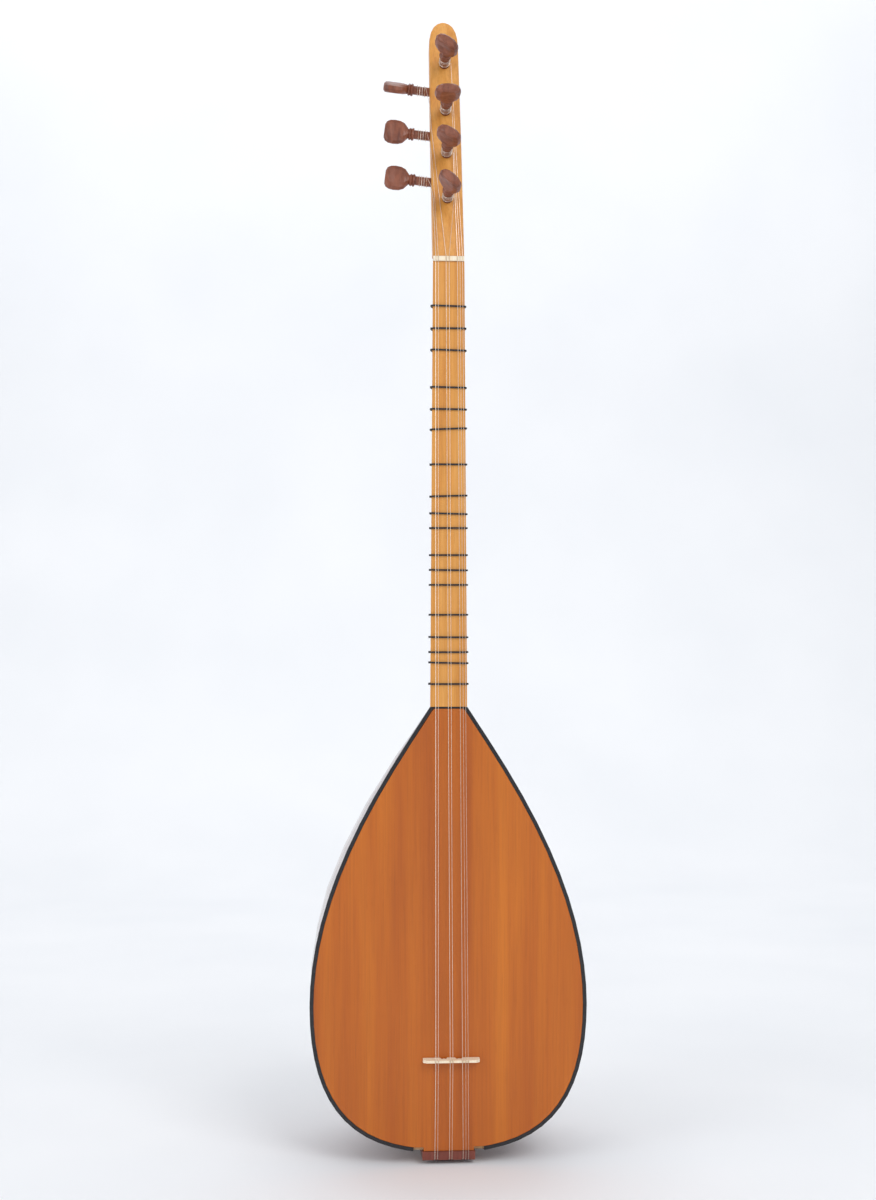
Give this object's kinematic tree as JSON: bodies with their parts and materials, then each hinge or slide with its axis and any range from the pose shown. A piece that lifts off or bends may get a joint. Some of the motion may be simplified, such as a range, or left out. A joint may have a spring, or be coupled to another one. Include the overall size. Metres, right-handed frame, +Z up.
{
  "type": "short-neck saz",
  "caption": "Long-necked plucked lute with a teardrop bowl of staves, tied frets, a floating bridge, and friction pegs on the front and left side of a leaning head.",
  "frame": {"origin": "middle of the front edge line of the string holder's flat lower end, in the plane of the soundboard's front", "axes": "+Z up along the neck, -Y out of the soundboard, +X to the right seen from the front"},
  "size_m": [0.2512, 0.2162, 1.0484],
  "materials": {
    "honey_wood": "satin lacquer",
    "soundboard_wood": "satin lacquer",
    "bowl_wood": "gloss lacquer",
    "binding_black": "polished",
    "fret_cord": "satin",
    "pale_wood": "bare, smooth",
    "holder_wood": "satin",
    "inner_wood": "raw",
    "peg_wood": "satin",
    "string_steel": "drawn wire"
  },
  "bodies": {
    "frame": {"soundboard": "soundboard_wood", "binding_left": "binding_black", "binding_right": "binding_black", "joint_inlay": "binding_black", "brace": "inner_wood", "heel_block": "inner_wood", "end_block": "inner_wood", "string_holder": "holder_wood", "neck": "honey_wood", "nut": "pale_wood", "headstock": "honey_wood", "stave_1": "bowl_wood", "stave_2": "bowl_wood", "stave_3": "bowl_wood", "stave_4": "bowl_wood", "stave_5": "bowl_wood", "stave_6": "bowl_wood", "stave_7": "bowl_wood", "stave_8": "bowl_wood", "stave_9": "bowl_wood", "string_1": "string_steel", "string_2": "string_steel", "string_3": "string_steel", "string_4": "string_steel", "string_5": "string_steel", "string_6": "string_steel", "string_7": "string_steel"},
    "peg_front_1": {"peg_front_1": "peg_wood", "winding_front_1": "string_steel"},
    "peg_front_2": {"peg_front_2": "peg_wood", "winding_front_2": "string_steel"},
    "peg_front_3": {"peg_front_3": "peg_wood", "winding_front_3": "string_steel"},
    "peg_front_4": {"peg_front_4": "peg_wood", "winding_front_4": "string_steel"},
    "peg_side_1": {"peg_side_1": "peg_wood", "winding_side_1": "string_steel"},
    "peg_side_2": {"peg_side_2": "peg_wood", "winding_side_2": "string_steel"},
    "peg_side_3": {"peg_side_3": "peg_wood", "winding_side_3": "string_steel"},
    "fret_01": {"fret_01": "fret_cord"},
    "fret_02": {"fret_02": "fret_cord"},
    "fret_03": {"fret_03": "fret_cord"},
    "fret_04": {"fret_04": "fret_cord"},
    "fret_05": {"fret_05": "fret_cord"},
    "fret_06": {"fret_06": "fret_cord"},
    "fret_07": {"fret_07": "fret_cord"},
    "fret_08": {"fret_08": "fret_cord"},
    "fret_09": {"fret_09": "fret_cord"},
    "fret_10": {"fret_10": "fret_cord"},
    "fret_11": {"fret_11": "fret_cord"},
    "fret_12": {"fret_12": "fret_cord"},
    "fret_13": {"fret_13": "fret_cord"},
    "fret_14": {"fret_14": "fret_cord"},
    "fret_15": {"fret_15": "fret_cord"},
    "fret_16": {"fret_16": "fret_cord"},
    "fret_17": {"fret_17": "fret_cord"},
    "fret_18": {"fret_18": "fret_cord"},
    "bridge": {"bridge": "pale_wood"}
  },
  "joints": [
    {"name": "peg_front_1_turn", "type": "hinge", "parent": "frame", "child": "peg_front_1", "pos_m": [0, 0.0576, 1.00509], "axis": [0, -0.9563, 0.2924], "continuous": true},
    {"name": "peg_front_2_turn", "type": "hinge", "parent": "frame", "child": "peg_front_2", "pos_m": [0, 0.04318, 0.95795], "axis": [0, -0.9563, 0.2924], "continuous": true},
    {"name": "peg_front_3_turn", "type": "hinge", "parent": "frame", "child": "peg_front_3", "pos_m": [0, 0.03026, 0.91568], "axis": [0, -0.9563, 0.2924], "continuous": true},
    {"name": "peg_front_4_turn", "type": "hinge", "parent": "frame", "child": "peg_front_4", "pos_m": [0, 0.01678, 0.87159], "axis": [0, -0.9563, 0.2924], "continuous": true},
    {"name": "peg_side_1_turn", "type": "hinge", "parent": "frame", "child": "peg_side_1", "pos_m": [-0.0142, 0.0593, 0.97989], "axis": [-0.9914, 0.0382, 0.1248], "continuous": true},
    {"name": "peg_side_2_turn", "type": "hinge", "parent": "frame", "child": "peg_side_2", "pos_m": [-0.0142, 0.04565, 0.93523], "axis": [-0.9914, 0.0382, 0.1248], "continuous": true},
    {"name": "peg_side_3_turn", "type": "hinge", "parent": "frame", "child": "peg_side_3", "pos_m": [-0.0142, 0.0317, 0.88962], "axis": [-0.9914, 0.0382, 0.1248], "continuous": true},
    {"name": "fret_01_shift", "type": "slide", "parent": "frame", "child": "fret_01", "axis": [0, 0, 1], "range_m": [-0.003, 0.003]},
    {"name": "fret_02_shift", "type": "slide", "parent": "frame", "child": "fret_02", "axis": [0, 0, 1], "range_m": [-0.003, 0.003]},
    {"name": "fret_03_shift", "type": "slide", "parent": "frame", "child": "fret_03", "axis": [0, 0, 1], "range_m": [-0.003, 0.003]},
    {"name": "fret_04_shift", "type": "slide", "parent": "frame", "child": "fret_04", "axis": [0, 0, 1], "range_m": [-0.003, 0.003]},
    {"name": "fret_05_shift", "type": "slide", "parent": "frame", "child": "fret_05", "axis": [0, 0, 1], "range_m": [-0.003, 0.003]},
    {"name": "fret_06_shift", "type": "slide", "parent": "frame", "child": "fret_06", "axis": [0, 0, 1], "range_m": [-0.003, 0.003]},
    {"name": "fret_07_shift", "type": "slide", "parent": "frame", "child": "fret_07", "axis": [0, 0, 1], "range_m": [-0.003, 0.003]},
    {"name": "fret_08_shift", "type": "slide", "parent": "frame", "child": "fret_08", "axis": [0, 0, 1], "range_m": [-0.003, 0.003]},
    {"name": "fret_09_shift", "type": "slide", "parent": "frame", "child": "fret_09", "axis": [0, 0, 1], "range_m": [-0.003, 0.003]},
    {"name": "fret_10_shift", "type": "slide", "parent": "frame", "child": "fret_10", "axis": [0, 0, 1], "range_m": [-0.003, 0.003]},
    {"name": "fret_11_shift", "type": "slide", "parent": "frame", "child": "fret_11", "axis": [0, 0, 1], "range_m": [-0.003, 0.003]},
    {"name": "fret_12_shift", "type": "slide", "parent": "frame", "child": "fret_12", "axis": [0, 0, 1], "range_m": [-0.003, 0.003]},
    {"name": "fret_13_shift", "type": "slide", "parent": "frame", "child": "fret_13", "axis": [0, 0, 1], "range_m": [-0.003, 0.003]},
    {"name": "fret_14_shift", "type": "slide", "parent": "frame", "child": "fret_14", "axis": [0, 0, 1], "range_m": [-0.003, 0.003]},
    {"name": "fret_15_shift", "type": "slide", "parent": "frame", "child": "fret_15", "axis": [0, 0, 1], "range_m": [-0.003, 0.003]},
    {"name": "fret_16_shift", "type": "slide", "parent": "frame", "child": "fret_16", "axis": [0, 0, 1], "range_m": [-0.003, 0.003]},
    {"name": "fret_17_shift", "type": "slide", "parent": "frame", "child": "fret_17", "axis": [0, 0, 1], "range_m": [-0.003, 0.003]},
    {"name": "fret_18_shift", "type": "slide", "parent": "frame", "child": "fret_18", "axis": [0, 0, 1], "range_m": [-0.003, 0.003]},
    {"name": "bridge_shift", "type": "slide", "parent": "frame", "child": "bridge", "axis": [0, 0, 1], "range_m": [-0.002, 0.004]}
  ]
}
